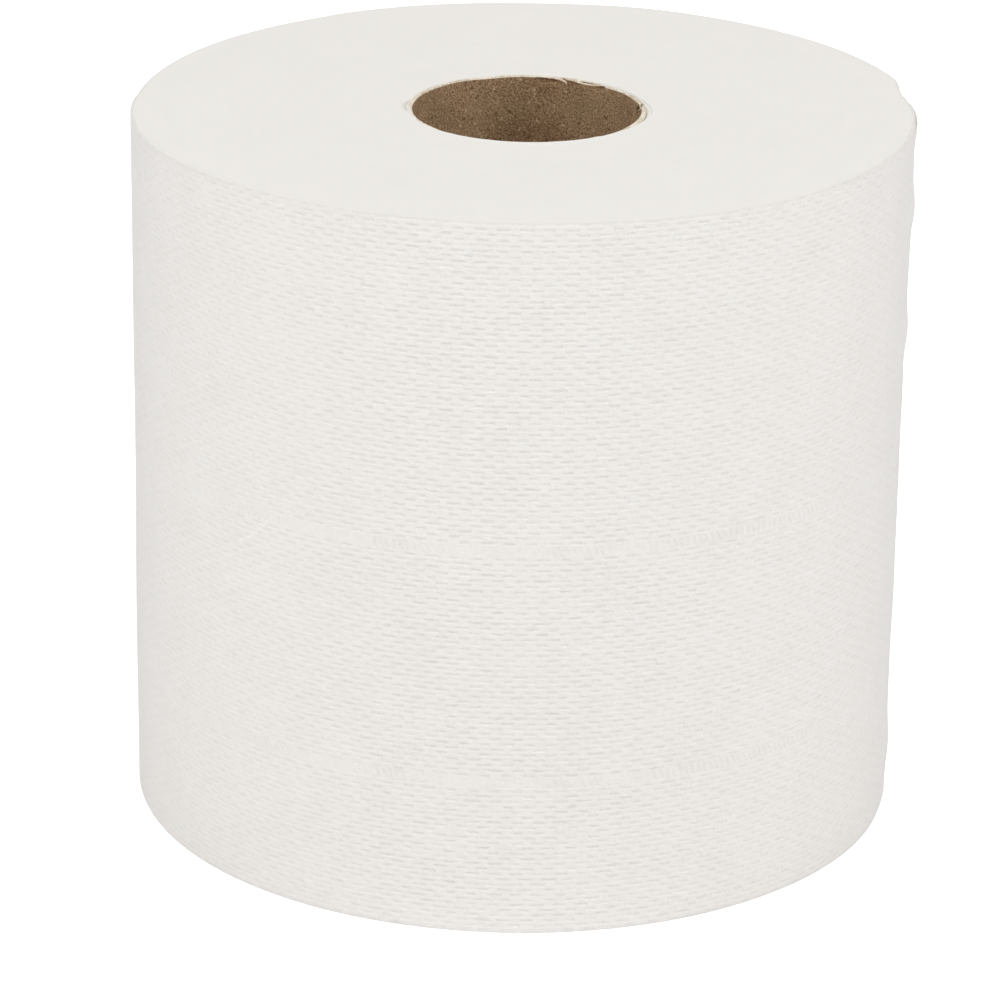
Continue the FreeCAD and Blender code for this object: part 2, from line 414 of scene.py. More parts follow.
def tissueWeb():
    # two-ply creped tissue, embossed between steel rolls: matt and white, with crisp pressed dashes in a
    # brick lattice, knurled bands that hold the plies, fine crepe folds and a soft bloom of loose fibres
    material, add = newMaterial("creped_two_ply_tissue")
    t = tissue
    along, up, _ = add("SeparateXYZ", add("UVMap", uv_map="web")).outputs  # in dash periods, and in mm
    place3d = add("TexCoord").outputs["Object"]
    # folds pressed in by handling: their bump catches the light along one side, and a painted highlight
    # runs along their middle
    flat = add("CombineXYZ", add("MULTIPLY", along, period), up)
    fold = 0.0
    for start, end, wide in creases:
        fold = add("MAXIMUM", foldMark(add, flat, start, end, wide), fold)
    # soft paper: the rows wander slowly along the web, with small squiggles on top
    squiggles = webNoise(add, along, up, t["squiggleSize"], 0.0, 3.0, 0.6)
    upward, onward, _ = add("SeparateXYZ", squiggles.outputs["Color"]).outputs
    up = add("ADD", up, add("MULTIPLY_ADD", upward, t["wander"][1], -t["wander"][1] / 2))
    along = add("ADD", along, add("MULTIPLY_ADD", onward, t["wander"][0], -t["wander"][0] / 2))
    # which dash this is, and how far from its middle
    row = add("FLOOR", add("DIVIDE", up, emboss["rowPitch"]))
    place = add("ADD", along, add("MULTIPLY", add("MODULO", row, 2.0), 0.5))
    number = add("ROUND", place)
    fromMiddle = add("MULTIPLY", add("ABSOLUTE", add("SUBTRACT", place, number)), period)
    above = add("SUBTRACT", up, add("MULTIPLY", add("ADD", row, 0.5), emboss["rowPitch"]))
    # every dash has a chance length, strength and lip, and a ragged edge
    chances = add("TexWhiteNoise", add("CombineXYZ", number, row), noise_dimensions="2D")
    lengthChance, dashChance, lipChance = add("SeparateXYZ", chances.outputs["Color"]).outputs
    grain = add("TexNoise", place3d, *t["grain"])
    ragged = add("MULTIPLY_ADD", grain, *t["ragged"])
    fromMiddle = add("ADD", fromMiddle, add("MULTIPLY_ADD", lengthChance, *t["longer"]))
    fromMiddle = add("MULTIPLY_ADD", ragged, t["raggedLong"], fromMiddle)
    longEnd = add("MapRange", fromMiddle, *t["dashLong"], **smooth)
    fromRow = add("MULTIPLY_ADD", ragged, t["raggedHigh"], add("ABSOLUTE", above))
    strength = add("MULTIPLY", longEnd, add("MULTIPLY_ADD", dashChance, *t["stronger"]))
    dash = add("MULTIPLY", strength, add("MapRange", fromRow, *t["dashHigh"], **smooth))
    # below each dash the pushed-up fibres make a low lip, raised as a bump and coloured lighter as a
    # painted highlight
    fromLip = add("ABSOLUTE", add("MULTIPLY_ADD", ragged, t["raggedLip"], add("ADD", above, t["lipDown"])))
    lip = add("MULTIPLY", longEnd, add("MapRange", fromLip, *t["lipHigh"], **smooth))
    lip = add("MULTIPLY", lip, add("MULTIPLY_ADD", lipChance, *t["lipStrength"]))
    # the knurled bands
    band = 0.0
    for at in emboss["bandAt"]:
        fromBand = add("ABSOLUTE", add("SUBTRACT", up, at))
        band = add("ADD", add("MapRange", fromBand, *emboss["bandEdge"], 1.0, 0.0, **smooth), band)
    leaning = add("ADD", add("MULTIPLY", along, period / emboss["strokePitch"]),
                  add("MULTIPLY", up, emboss["strokeLean"] / emboss["strokePitch"]))
    strokePlace = add("MULTIPLY_ADD", grain, t["raggedStroke"], leaning)
    stroke = add("MapRange", add("PINGPONG", strokePlace, 0.5), *t["stroke"], **smooth)
    # the knurl wheel bites well in some places and hardly at all in others
    biteAt = add("CombineXYZ", add("MULTIPLY", along, period / t["biteSize"]), 0.0, 3.1)
    bite = add("MapRange", add("TexNoise", biteAt, 1.0, 2.0), *t["bite"], **smooth)
    perDegree = emboss["dashes"] / 360
    fromBest = add("ABSOLUTE", add("SUBTRACT", along, (360 + emboss["biteAt"]) * perDegree))
    bestEnd = emboss["biteHalf"] * perDegree
    bite = add("MAXIMUM", bite, add("MapRange", fromBest, bestEnd / 2, bestEnd, 1.0, 0.0, **smooth))
    knurl = add("MULTIPLY", add("MULTIPLY", stroke, bite), band)
    plain = add("SUBTRACT", 1.0, band, use_clamp=True)
    pressed = add("MAXIMUM", add("MULTIPLY", dash, plain), knurl)
    # crepe folds run up the web, so their noise is stretched upwards
    crepe = webNoise(add, along, up, t["crepeSize"], 0.0, 4.0)
    fibres = add("TexNoise", place3d, *t["fibres"])
    clouds = add("MULTIPLY_ADD", add("TexNoise", place3d, *t["clouds"]), *t["cloudTone"])
    # the pressed dashes and knurl strokes are coloured darker: partly their denser fibres, partly painted
    # shade in their grooves
    tone = add("ADD", add("MULTIPLY", pressed, t["pressedTone"]), clouds, use_clamp=True)
    tone = add("ADD", tone, add("MULTIPLY_ADD", fibres, *t["fibreTone"]))
    # long wrinkles between the dashes, drawn out along the web
    wrinkles = add("SUBTRACT", webNoise(add, along, up, t["wrinkleSize"], 7.3, 2.0, 0.55), 0.5)
    # the relief, and the painted light on its wrinkles and lips, are firm at the front and back and weaker
    # at the flanks, where the light shows them less, and fade out over both rims
    twice = add("COSINE", add("MULTIPLY", along, 4 * np.pi / emboss["dashes"]))
    halfHeight = roll["height"] / 2
    fromHalf = add("ABSOLUTE", add("SUBTRACT", up, halfHeight))
    overRim = add("MapRange", fromHalf, *(halfHeight - fromEnd for fromEnd in t["rimWorn"]), 0.0, 1.0)
    firm = add("MULTIPLY", add("MULTIPLY_ADD", twice, -emboss["firmSwing"], emboss["firm"]),
               add("MULTIPLY_ADD", overRim, *t["rimFirm"]))
    # painted shade: over the rounded rims the sheet is coloured darker, to hold back the light that they
    # catch from above
    tone = add("MULTIPLY_ADD", overRim, t["rimShadeTone"], tone)
    # painted light: raised wrinkles are coloured lighter and their hollows darker
    tone = add("MULTIPLY_ADD", add("MULTIPLY", wrinkles, firm), t["wrinklePaintedLight"], tone, use_clamp=True)
    sheet = add("Mix", tone, t["colour"], t["pressed"], **coloured)
    # painted highlight: the lips and the folds are coloured lighter, as if lit
    crest = add("MULTIPLY", add("MULTIPLY", lip, plain), firm)
    crest = add("MULTIPLY_ADD", fold, t["foldHighlight"], crest, use_clamp=True)
    colour = add("Mix", crest, sheet, t["crest"], **coloured)
    relief = add("MULTIPLY_ADD", wrinkles, t["wrinkleLift"], add("MULTIPLY", lip, t["lipLift"]))
    dashes = add("MULTIPLY", add("MULTIPLY", add("SUBTRACT", relief, dash), plain), firm)
    strokes = add("MULTIPLY", knurl, add("MULTIPLY", firm, -1.0))
    lifts = ((add("ADD", crepe, fibres), t["fineLift"]), (dashes, t["dashLift"]),
             (strokes, t["strokeLift"]), (fold, t["foldLift"]))
    finishPaper(add, colour, lifts, t["surface"])
    return material


def tissueEnds():
    # the slit edges of hundreds of turns, seen end on: a matt felt-like face with the faintest rings
    material, add = newMaterial("slit_tissue_edges")
    t = tissue
    place3d = add("TexCoord").outputs["Object"]
    centred = add("Mapping", place3d, (-roll["centreX"] * mm, 0, 0), (0, 0, 0), (1, 1, 0))
    ringAt = add("CombineXYZ", add("MULTIPLY", add("VectorMath.LENGTH", centred), 1000 / t["ringSize"]))
    wander = add("TexNoise", place3d, *t["ringWander"]).outputs["Color"]
    rings = add("TexNoise", add("VectorMath.ADD", ringAt, wander), 1.0, 3.0)
    clouds = add("MULTIPLY_ADD", add("TexNoise", place3d, *t["clouds"]), *t["endCloudTone"])
    tone = add("ADD", add("MULTIPLY", rings, t["ringTone"]), clouds, use_clamp=True)
    colour = add("Mix", tone, t["endsLight"], t["ends"], **coloured)
    fuzz = add("TexNoise", place3d, *t["fuzz"])
    finishPaper(add, colour, ((rings, t["ringLift"]), (fuzz, t["fuzzLift"])), t["surface"])
    return material


board = {
    "light": "#B99B79",
    "dark": "#785C40",
    "cut": "#EFE6D6",
    "cutDark": "#C4B49A",
    "fleck": "#D2BC9C",
    "patch": "#8F8460",
    # painted shade: the dark colour put inside the tear's slit
    "middle": "#2A1C10",
    # the slivers: pale torn fibres, made paler still as a painted highlight
    "torn": "#FBF1E2",
    "tornDark": "#DCC8AC",
    "liner": {"Roughness": 0.85, "Specular IOR Level": 0.3},
    "raw": {"Roughness": 0.9, "Specular IOR Level": 0.2},
    "fibres": (1000 / 0.5, 5.0, 0.75),  # thicker than real ones, to show
    "dots": (1000 / 0.9, 4.0, 0.7),  # loose fibres of the raw board
    "blotches": (1000 / 11, 4.0, 0.6),
    "patches": (1000 / 16, 1.0),
    "rawPatches": (1000 / 6, 2.0),
    "specksApart": 3.2, "flecksApart": 2.1,
    "markSize": (0.40, 0.40 / 0.55),  # mm across and along the felt marks of the drying cloth
    "markLean": 48.0,  # degrees that they lean, one way or the other
    "markWays": (1000 / 4, 2.0), "markWay": (0.42, 0.58, 0.0, 1.0),
    "markTone": (3.7, -1.55), "blotchTone": (1.1, -0.55), "fibreTone": (1.7, -0.85),
    "speck": (0.08, 0.20, 1.0, 0.0), "speckTone": 0.9,
    "farShadeAt": 84.0, "farShade": (0.6, 1.0, 0.0, 0.22),  # painted shade on the far inner wall of the bore, round this angle
    "fleckShare": (0.10, 0.24, 0.7, 0.0), "patchShare": (0.5, 0.7, 0.0, 0.22),
    "dotTone": (3.2, -1.25), "rawPatchTone": (2.4, -1.2),
    "markLift": 0.35, "fibreLift": 0.08, "dotLift": 0.12,  # mm of relief
}


tear = {
    "from": 8.0, "to": 16.5,  # it starts at the rim and slants down, between these angles
    "drop": 2.6,
    "power": 0.9, "runOn": 1.1,  # it curves a little, and its line runs on past its end
    "opens": (-0.05, 0.0), "closes": (0.75, 1.05),  # over these shares of its length
    "halfWide": 0.55 / 1.4, "deep": 0.95,  # a bell across its line
    "lipBelow": 0.5, "lipHalf": 0.45, "lift": 0.45,  # and the one for its bent lip
    "open": (0.2, 0.5, 1.0, 0.0),  # the painted shade of the slit reaches this far from its line
    "openMiddle": 0.42, "openLong": (0.42, 0.58, 1.0, 0.0),  # and over these shares of its length
}


def kraftLiner():
    # unbleached recycled kraft, spirally wound and glued: warm brown, matt, with short slanting felt marks,
    # darker blotches where the glue soaked in, scattered dark specks, and painted shade on the far side of
    # the bore
    material, add = newMaterial("spiral_wound_kraft")
    b = board
    liner = add("UVMap", uv_map="web")
    place3d = add("TexCoord").outputs["Object"]
    marks = []
    for lean, offset in ((b["markLean"], 0.0), (-b["markLean"], 31.7)):
        leaning = add("Mapping", liner, (0, 0, 0), (0, 0, np.radians(lean)))
        cells = add("VectorMath.MULTIPLY", leaning, (1 / b["markSize"][0], 1 / b["markSize"][1], 1))
        marks.append(add("TexNoise", add("VectorMath.ADD", cells, (offset, offset, 0)), 1.0, 1.5, 0.5))
    marks = add("Mix", add("MapRange", add("TexNoise", place3d, *b["markWays"]), *b["markWay"]), *marks)
    fibres = add("TexNoise", place3d, *b["fibres"])
    blotches = add("TexNoise", place3d, *b["blotches"])
    tone = add("MULTIPLY_ADD", marks, *b["markTone"])
    tone = add("ADD", tone, add("MULTIPLY_ADD", blotches, *b["blotchTone"]))
    tone = add("ADD", tone, add("MULTIPLY_ADD", fibres, *b["fibreTone"]))
    # painted shade: the far inner wall of the bore is coloured darker
    farShadeSide = np.radians(b["farShadeAt"])
    farShadeWay = (np.cos(farShadeSide) / core["bore"] / mm, np.sin(farShadeSide) / core["bore"] / mm, 0)
    facing = add("VectorMath.DOT_PRODUCT", place3d, farShadeWay)
    tone = add("ADD", tone, add("MapRange", facing, *b["farShade"], **smooth))
    speck = add("MapRange", add("TexVoronoi", place3d, 1000 / b["specksApart"]), *b["speck"])
    tone = add("ADD", tone, add("MULTIPLY", speck, b["speckTone"]), use_clamp=True)
    colour = add("Mix", tone, b["light"], b["dark"], **coloured)
    # pale flecks, where single fibres have been rubbed up
    fleck = add("MapRange", add("TexVoronoi", place3d, 1000 / b["flecksApart"]), *b["fleckShare"])
    colour = add("Mix", fleck, colour, b["fleck"], **coloured)
    # greyer, greener board in slow patches, as recycled fibres vary
    patch = add("MapRange", add("TexNoise", place3d, *b["patches"]), *b["patchShare"])
    colour = add("Mix", patch, colour, b["patch"], **coloured)
    # painted shade: the tear's slit is coloured dark along its slanting line
    around, up, _ = add("SeparateXYZ", liner).outputs
    perDegree = np.radians(core["bore"])
    alongTear = add("SUBTRACT", around, (360 + tear["from"]) * perDegree)
    alongTear = add("DIVIDE", alongTear, (tear["to"] - tear["from"]) * perDegree)
    tearLine = add("MULTIPLY_ADD", alongTear, -tear["drop"], core["top"])
    fromTear = add("ABSOLUTE", add("SUBTRACT", up, tearLine))
    fromMiddle = add("ABSOLUTE", add("SUBTRACT", alongTear, tear["openMiddle"]))
    tearShadeMask = add("MULTIPLY", add("MapRange", fromTear, *tear["open"]),
                   add("MapRange", fromMiddle, *tear["openLong"]))
    colour = add("Mix", tearShadeMask, colour, b["middle"], **coloured)
    lifts = ((add("MULTIPLY", marks, -1.0), b["markLift"]), (fibres, b["fibreLift"]))
    finishPaper(add, colour, lifts, b["liner"])
    return material


def rawBoard(name, pale, dark):
    # board with its fibres laid open: paler than the liner, with plies and loose fibres showing as dots
    material, add = newMaterial(name)
    place3d = add("TexCoord").outputs["Object"]
    dots = add("TexNoise", place3d, *board["dots"])
    patches = add("TexNoise", place3d, *board["rawPatches"])
    tone = add("ADD", add("MULTIPLY_ADD", dots, *board["dotTone"]),
               add("MULTIPLY_ADD", patches, *board["rawPatchTone"]), use_clamp=True)
    colour = add("Mix", tone, pale, dark, **coloured)
    finishPaper(add, colour, ((dots, board["dotLift"]),), board["raw"])
    return material


webMaterial, endMaterial = tissueWeb(), tissueEnds()
linerMaterial = kraftLiner()
cutMaterial = rawBoard("knife_cut_board", board["cut"], board["cutDark"])
# the slivers' material: pale torn fibres, and a painted highlight where they catch the light from above
tornLitMaterial = rawBoard("torn_fibres_with_painted_highlight", board["torn"], board["tornDark"])
print("materials made")


# The outermost turn, with its pressed dashes

def embossRows(low, high):
    # three rows of points for each row of dashes: its middle, and where it fades out above and below
    pitch, half = emboss["rowPitch"], emboss["halfHigh"]
    middles = (np.arange(int(low / pitch), int(high / pitch) + 1) + 0.5) * pitch
    rows = (middles[:, None] + np.array([-half, 0, half])).ravel()
    return rows[(rows > low + emboss["clearOfEdge"]) & (rows < high - emboss["clearOfEdge"])]


def cornerRows(count):
    # a quarter circle as fractions of its radius: how far in and how far up, from the side to the end face
    t = np.radians(np.linspace(0, 90, count))
    return 1 - np.cos(t), np.sin(t)


def hiddenHeights(low, high):
    # heights down a hidden wall, closer together near the upper rim, where the side swells
    return high - (high - low) * np.array([0, 0.04, 0.09, 0.15, 0.23, 0.34, 0.5, 1])


outer = {
    "columnsPerDash": 2,
    "cornerSteps": 7,
    "lip": 0.2,  # how far it reaches in across the end face, past the rounded rim
    "lipEdge": 0.08,  # the lip's edge is broken by this much
    "hiddenIn": 0.6,  # the hidden wall stops this far short of both ends
}


def outerTurn():
    # profile, from the lower end face round the side to the upper end face and back down inside;
    # the side is a cylinder plus sideStray, less the pressed dashes
    rim, top = roll["rim"], roll["height"]
    cornerIn, cornerUp = cornerRows(outer["cornerSteps"])
    side = embossRows(rim, top - rim)
    inner = rim + outer["lip"]
    inside = hiddenHeights(outer["hiddenIn"], top - outer["hiddenIn"])
    inset = np.concatenate([rim * cornerIn[::-1], 0 * side, rim * cornerIn, [inner - outer["lipEdge"]],
                            inner + 0 * inside])
    height = np.concatenate([rim - rim * cornerUp[::-1], side, top - rim + rim * cornerUp, [top], inside])
    inset, height = inset[:, None], height[:, None]
    columns = outer["columnsPerDash"] * emboss["dashes"]
    degrees = np.arange(columns)[None, :] / columns * 360.0
    radius, raised = strayed(degrees, inset, height)
    radius = radius - np.where(inset < 0.5 * rim, pressedDashes(degrees, height), 0)
    points = polarPoints(degrees, radius, raised, roll["centreX"])
    uv = gridOf(np.append(degrees, [[360.0]], axis=1) / 360 * emboss["dashes"],
                np.append(height, height[:1], axis=0))
    piece = ringMesh("outer_turn", points, [webMaterial], uvGrid=uv)
    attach(piece, "root")
    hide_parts("paper_roll")
    return piece


outerTurn()
print("outer turn wound")


# The loose free end of the web

tail = {
    "root": -30.0, "tip": 5.0,  # where it leaves the turn below, and its cut end
    "columns": 46,
    "thick": 0.4,
    "sunk": 0.35,  # its root lies this far below the surface
    "climbOver": 0.7,  # the share of its length in which it climbs out of the turns
    "lift": 0.06, "tipLift": 0.22,  # how far its inside stands off the turn below
    "liftFrom": 0.6, "uneven": 0.6,  # the share of its length after which it lifts more, and how unevenly
    "mostUneven": 2.2,
    "flatTop": 7.0, "flatFoot": 5.0,  # towards both rims it lies flat again, over about these heights
    "lowRows": (0.4, 1.0), "highRows": (1.3, 0.8), "dashesFrom": 1.6,  # rows of points, from either rim
}


def freeEnd():
    # a thin sheet that follows the turn below: it climbs from under the surface as a square law, lies its
    # own thickness above the turn, and lifts a little more at its tip
    rows = embossRows(tail["dashesFrom"], roll["height"] - tail["dashesFrom"])
    highRows = roll["height"] - np.array(tail["highRows"])
    height = np.concatenate([tail["lowRows"], rows, highRows])[:, None]
    degrees = np.linspace(tail["root"], tail["tip"], tail["columns"])[None, :]
    way = (degrees - tail["root"]) / (tail["tip"] - tail["root"])
    climb = np.clip(way / tail["climbOver"], 0, 1) ** 2
    waves = 1 + tail["uneven"] * slowWaves(0 * degrees, height, 83, mostRound=0, shortest=16.0)
    rise = -tail["sunk"] + (tail["sunk"] + tail["thick"] + tail["lift"]) * climb
    flat = 1 - np.exp(-(roll["height"] - height) / tail["flatTop"]) - np.exp(-height / tail["flatFoot"])
    atTip = smoothStep(way, tail["liftFrom"], 1.0)
    rise = rise + tail["tipLift"] * np.clip(waves, 0, tail["mostUneven"]) * atTip * np.clip(flat, 0, 1)
    # both edges of the sheet round in with the roll's rims
    rim = roll["rim"]
    beyond = np.clip(np.abs(height - roll["height"] / 2) - roll["height"] / 2 + rim, 0, rim)
    corner = rim - np.sqrt(rim ** 2 - beyond ** 2)
    radius, raised = strayed(degrees, 0 * height, height)
    surface = radius - corner + rise
    outsidePoints = polarPoints(degrees, surface - pressedDashes(degrees, height), raised, roll["centreX"])
    insidePoints = polarPoints(degrees, surface - tail["thick"], raised, roll["centreX"])
    # the profile goes up the outside and down the inside
    points = np.concatenate([outsidePoints, insidePoints[::-1]])
    profile = np.concatenate([height, height[::-1], height[:1]])
    uv = gridOf(np.append(degrees, [[tail["tip"] + 1]], axis=1) / 360 * emboss["dashes"], profile)
    piece = ringMesh("free_end", points, [webMaterial], uvGrid=uv, openColumns=True)
    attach(piece, "root")
    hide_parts("paper_roll")
    return piece


freeEnd()
print("free end laid on")


# The wound turns inside it, seen at both ends

turns = {
    "columns": 360,
    "tuck": 0.1,  # how far the face runs in under the outermost turn's lip
    "slackGap": 0.42,  # the gap that shows where that turn is slack, at the near side
    "slackSpan": (1.0, -84.0, 27.0, 4),  # a bell, as its size, angle, width and power
    "gapDeep": 0.9, "gapSlope": 1.0,  # from there its floor slopes down to the hidden wall
    "hiddenSide": 0.1,  # that wall stays this far inside the rounded rim
    "faceRows": 150, "roundRows": 5, "flareRows": 14, "boreRows": 14, "lowerRows": 80,
    "below": 0.03,  # the face lies this much lower than the outermost turn's lip
    "dishPower": 1.2,  # the dish gets steeper towards the core
    "ringWander": 0.6,  # the rings aren't quite round
    "ridges": 0.02, "ridgePitch": 0.8,  # how proud single groups of turns stand, and how wide they are
    "ridgesFrom": (1, 4), "ridgesTo": (0, 3),  # they fade out this near to the rim and to the mouth
    "mouthDeep": 1.3,  # the bore flares to its mouth over this depth
    "flareIn": 2, "flareDown": 1.3,  # powers that run it out softly into the straight bore
    "boreFrom": 5,  # rows of points go on this far below the flare
    "mouthSide": 0.35,  # clear of the core at the mouth
    "mouthRight": (1.1, -2.0, 17.0),  # it opens wider at the right
    "mouthLeft": (-0.75, 180.0, 38.0),  # and laps over the board's edge at the left
    "tuft": (0.5, 186.0, 5.0),  # with a tuft of loose ply here
    "mouthRound": 0.4, "roundFrom": 15.0,  # radius of its edge, and the angle at which the arc starts
    "footBevel": 0.4,  # at the bore's lower edge
    "ragged": 0.12,
    "boreClear": 0.1,
    "lip": (0.32, -92.0, 75.0, 4),  # at the near side the innermost turns stand up like a low lip
    "lipWide": 1.3,
    # small scuffs in the end face: x and y in mm from the core's axis, length, width, angle and depth
    "scuffs": ((12.5, 52.0, 2.6, 0.9, 12.0, 0.22), (16.8, 49.0, 1.8, 0.8, -20.0, 0.16),
               (9.0, 55.5, 1.4, 0.8, 40.0, 0.14), (-46.0, 20.0, 2.2, 0.8, 75.0, 0.10)),
}


def mouthClear(degrees):
    # the gap round the core at the mouth: an oval, widest at the right, with a slightly ragged edge
    oval = turns["mouthSide"] + softBump(degrees, *turns["mouthRight"])
    oval = oval + softBump(degrees, *turns["mouthLeft"])
    ragged = turns["ragged"] * slowWaves(degrees, 0 * degrees, 31, mostRound=34, count=30)
    return oval + 0.5 * ragged - softBump(degrees, *turns["tuft"])


def ridgeProfile(radius, seed):
    # groups of turns standing proud or low: a random height for each ring, joined by straight slopes
    rng = np.random.default_rng(seed)
    knots = np.arange(roll["radius"] * 1.3)  # enough to reach past the side
    return np.interp(radius / turns["ridgePitch"], np.arange(len(knots)), rng.normal(0, 1, len(knots)))


def woundTurns():
    # profile: across the upper face to the mouth, down the flare and the bore, out across the lower face
    # and up inside the outermost turn; the upper face dishes towards the core
    top, rim, reach = roll["height"], roll["rim"], roll["radius"]
    degrees = np.arange(turns["columns"])[None, :] / turns["columns"] * 360.0
    none = 0 * degrees
    bore = core["outer"] + turns["boreClear"]
    mouth = core["outer"] + mouthClear(degrees)
    slack = softBump(degrees, *turns["slackSpan"])
    edgeIn = rim - turns["tuck"] + slack * (turns["tuck"] + outer["lip"] + turns["slackGap"])
    mouthIn = reach - mouth - turns["mouthRound"]
    inset = edgeIn + (mouthIn - edgeIn) * np.linspace(0, 1, turns["faceRows"])[:, None]
    dish = roll["dish"] * np.clip((inset - rim) / (mouthIn - rim), 0, 1) ** turns["dishPower"]
    faceRadius, faceHeight = strayed(degrees, inset, top + 0 * inset)
    ring = faceRadius + turns["ringWander"] * slowWaves(degrees, none, 41, mostRound=3)
    ridges = np.abs(ridgeProfile(ring, 43)) * turns["ridges"]
    ridges = ridges * smoothStep(inset, *turns["ridgesFrom"])
    ridges = ridges * smoothStep(mouthIn - inset, *turns["ridgesTo"])
    faceHeight = faceHeight - turns["below"] - dish - ridges
    for x, y, long, wide, angle, deep in turns["scuffs"]:
        offX = faceRadius * np.cos(np.radians(degrees)) - x
        offY = faceRadius * np.sin(np.radians(degrees)) - y
        c, s = np.cos(np.radians(angle)), np.sin(np.radians(angle))
        along, across = offX * c + offY * s, offY * c - offX * s
        faceHeight = faceHeight - deep * np.exp(-(2 * along / long) ** 2 - (2 * across / wide) ** 2)
    lip = softBump(degrees, *turns["lip"])
    faceHeight = faceHeight + lip * np.exp(-((mouthIn - inset) / turns["lipWide"]) ** 2)
    # the mouth's rounded edge, then its flare and the straight bore
    t = np.radians(np.linspace(turns["roundFrom"], 90, turns["roundRows"]))[:, None]
    roundRadius = mouth + turns["mouthRound"] * (1 - np.sin(t))
    roundHeight = top - roll["dish"] - turns["mouthRound"] * (1 - np.cos(t)) + lip
    flare = np.linspace(0, 1, turns["flareRows"])[1:, None]
    flareRadius = bore + (mouth - bore) * (1 - flare) ** turns["flareIn"]
    flareDeep = turns["mouthDeep"] - turns["mouthRound"]
    flareHeight = roundHeight[-1:] - flareDeep * flare ** turns["flareDown"]
    boreTop = top - roll["dish"] - turns["mouthDeep"] - turns["boreFrom"]
    boreHeight = np.linspace(boreTop, turns["footBevel"], turns["boreRows"])[:, None]
    lowerEnd = reach - rim + turns["tuck"]
    lowerRadius = np.linspace(bore + turns["footBevel"], lowerEnd, turns["lowerRows"])[:, None]
    lowerHeight = turns["ridges"] * np.abs(ridgeProfile(lowerRadius, 47))
    inside = hiddenHeights(outer["hiddenIn"], top - turns["gapDeep"] - turns["gapSlope"])[::-1]
    hiddenHeight = np.append(inside, top - turns["gapDeep"])[:, None]
    atEdge = np.append(0 * inside, 1)[:, None]
    hiddenIn = (1 - atEdge) * (rim + turns["hiddenSide"]) + atEdge * edgeIn
    hiddenRadius, hiddenRaised = strayed(degrees, hiddenIn, hiddenHeight)
    profile = ((faceRadius, faceHeight), (roundRadius, roundHeight), (flareRadius, flareHeight),
               (bore, boreHeight), (lowerRadius, lowerHeight), (hiddenRadius, hiddenRaised))
    # each part is spread over all the columns
    radius, height, _ = np.concatenate([gridOf(*part, none) for part in profile]).transpose(2, 0, 1)
    share = np.clip((radius - bore) / (reach - rim - bore), 0, 1)
    points = polarPoints(degrees, radius, height, roll["centreX"] * share)
    piece = ringMesh("wound_turns", points, [endMaterial])
    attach(piece, "root")
    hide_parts("paper_roll")
    return piece


woundTurns()
print("inner turns wound")


# The board core

tube = {
    "stripWidth": 120.0,  # the board strip is wound as a right-handed helix
    "seamAt": 116.0,  # angle of the strip's joint at the upper end
    "seamBend": 6.2, "seamBendOver": 2.6,  # the joint was dragged round by this many degrees below the cut
    "seamWide": 0.5, "seamDeep": 0.20,
    "fineSeam": 2.2, "fineTear": (6, 10),  # degrees beside the joint, and before and after the tear, where
    "seamColumns": 4.0, "tearColumns": 2.0,  # this many columns are added to each one
    "tight": 0.18,  # share of its depth that the joint has where it's tight
    "gapes": ((1.5, 1.3, 0.75), (5.5, 2.4, 0.7), (9.7, 1.0, 1.5), (23.0, 4.0, 0.5), (48.0, 7.0, 0.5),
              (83.0, 6.0, 0.7), (121.0, 9.0, 0.6), (160.0, 8.0, 0.7)),  # depth, half length and gape
    "notchDeep": 2.2, "notchWide": 2.0, "notchLean": 4.0,  # the tear crosses the cut edge, leaning back
    "notchWall": 0.4, "notchFade": (2.5, 0.2),  # the wall's share in it fades out between these depths
    "peeled": ((70.0, 84.0, 0.5), (47.0, 61.0, 0.75)),  # the liner is torn off below the rim here
    "peelDown": 0.35, "peelRagged": 0.18, "peelFade": (1.3, 1.0), "peelEnds": 2.0,
    "edgeRound": 0.25,
    "onWall": 0.01,  # what is nearer to a wall than this is on it
    "columns": 400, "edgeRows": 8, "outerRows": 50,
    "fineFrom": 26.0, "finestFrom": 6.0,  # below the rim, the rows of points are fine and finest
    "innerRows": (52, 50, 40),  # plain, fine and finest
    "plainFoot": (0.3, 1.5),  # the marks in the bore fade out between these heights
    "dents": 0.06,
    "rimWave": 0.10, "waveFade": 4, "rimRough": 0.05,
    "waveTop": 1.4,  # waves are counted from this high, so that the cut stays within its full height
    "nearDrop": (0.22, -92.0, 75.0, 4),  # the cut is a little lower at the near side
}
boreGirth = np.pi * 2 * core["bore"]
tube["pitch"] = boreGirth * np.tan(np.arcsin(tube["stripWidth"] / boreGirth))


def jointAngle(height):
    # the joint's angle at a height: a helix, dragged round a little just below the cut
    below = core["top"] - height
    bend = tube["seamBend"] * (1 - np.exp(-below / tube["seamBendOver"]))
    return tube["seamAt"] - below / tube["pitch"] * 360 + bend


def tubeColumns():
    # angles from the joint: fine beside it and across the tear, coarser elsewhere
    tearStart = tear["from"] - tube["seamAt"] - tube["fineTear"][0]
    tearEnd = tear["to"] - tube["seamAt"] + tube["fineTear"][1]
    angles = np.arange(0, 360, 0.05)
    nearSeam = np.abs(turned(angles, 0)) < tube["fineSeam"]
    nearTear = between(angles, tearStart, tearEnd, 2) > 0.5
    density = 1.0 + tube["seamColumns"] * nearSeam + tube["tearColumns"] * nearTear
    filled = np.concatenate([[0], np.cumsum(density)])
    wanted = np.arange(tube["columns"]) / tube["columns"] * filled[-1]
    return np.interp(wanted, filled, np.append(angles, 360.0))[None, :]


